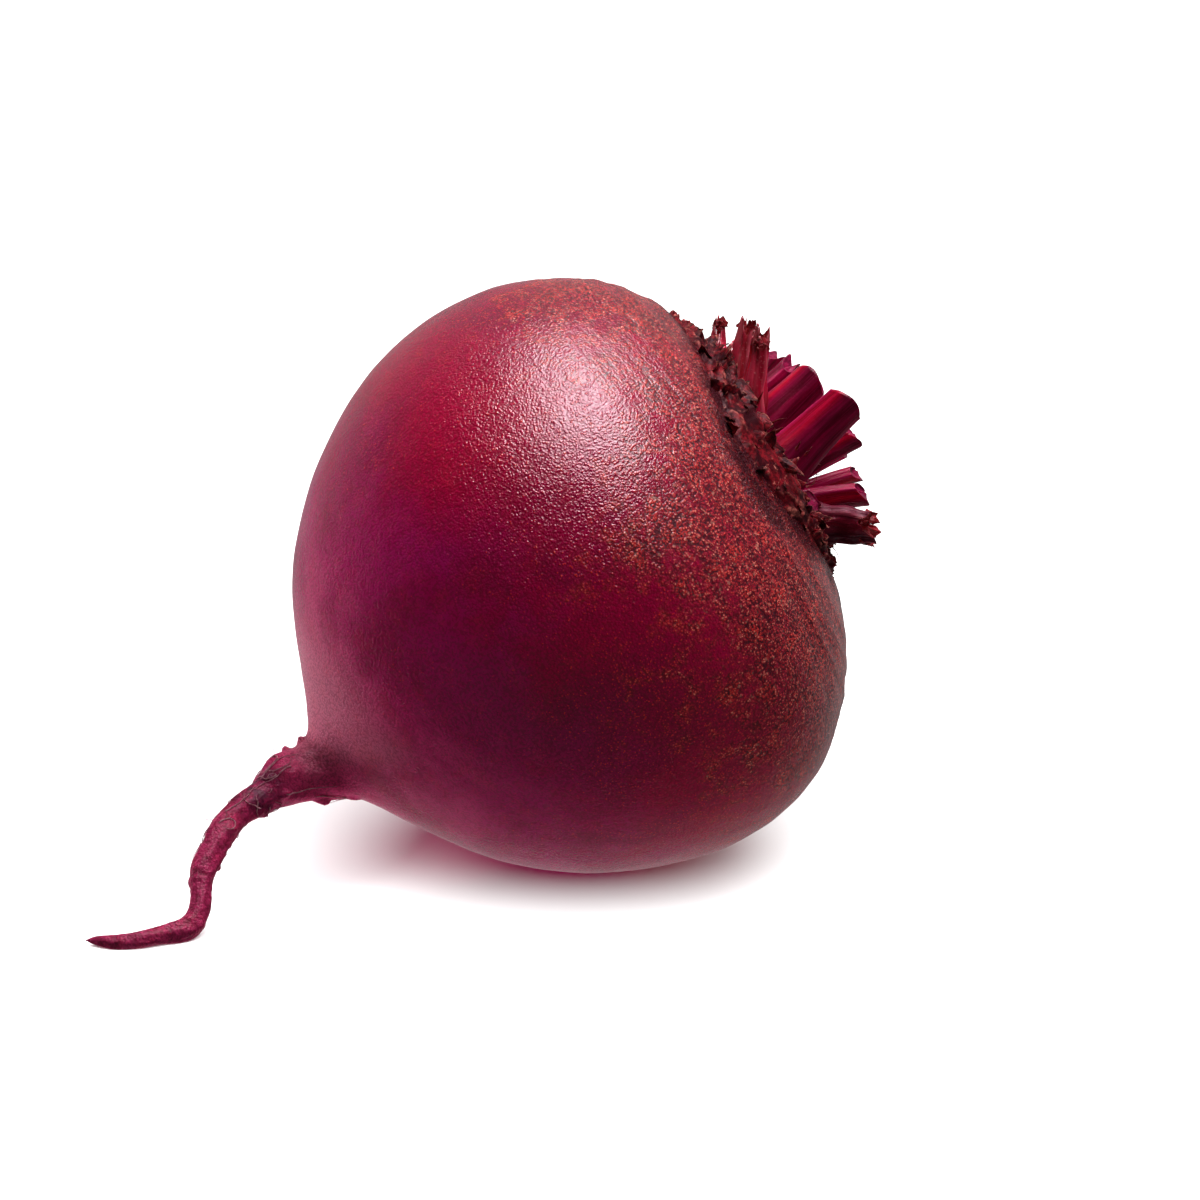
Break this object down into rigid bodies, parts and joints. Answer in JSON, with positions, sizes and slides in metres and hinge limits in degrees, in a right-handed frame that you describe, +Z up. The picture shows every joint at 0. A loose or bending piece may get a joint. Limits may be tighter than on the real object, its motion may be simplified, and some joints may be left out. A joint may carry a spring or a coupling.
{
  "type": "beetroot",
  "caption": "Whole raw beetroot lying on its side, with its tail, cut leaf stalks and dried leaf bases at the crown.",
  "frame": {"origin": "middle of the small flat spot under the bulb that the beetroot rests on", "axes": "+Z up; the crown end points along +X and up, the tail along -X; the bulb's axis lies in the XZ plane"},
  "size_m": [0.1161, 0.0838, 0.0818],
  "materials": {
    "skin": "thin satin beetroot skin, finely pebbled, magenta-red to maroon, corky brown near the crown",
    "fresh_stalk": "smooth moist leaf stalk, deep magenta with lighter ribs",
    "torn_stalk": "torn leaf stalk, crimson flesh with pale fibres",
    "dry_stalk": "shrunken dry leaf stalk, dark maroon",
    "dry_scale": "papery dried leaf bases, dark brown-red"
  },
  "bodies": {
    "root": {"taproot": "skin", "leaf_stalk_01": "fresh_stalk", "leaf_stalk_02": "fresh_stalk", "leaf_stalk_03": "fresh_stalk", "leaf_stalk_04": "fresh_stalk", "leaf_stalk_05": "fresh_stalk", "leaf_stalk_06": "fresh_stalk", "leaf_stalk_07": "fresh_stalk", "leaf_stalk_08": "fresh_stalk", "leaf_stalk_09": "fresh_stalk", "leaf_stalk_10": "fresh_stalk", "leaf_stalk_11": "fresh_stalk", "leaf_stalk_12": "fresh_stalk", "torn_stalk_1": "torn_stalk", "torn_stalk_2": "torn_stalk", "torn_stalk_3": "torn_stalk", "torn_stalk_4": "torn_stalk", "dry_stalk_1": "dry_stalk", "dry_stalk_2": "dry_stalk", "flush_stub": "dry_stalk", "dry_leaf_bases": "dry_scale"}
  },
  "joints": []
}
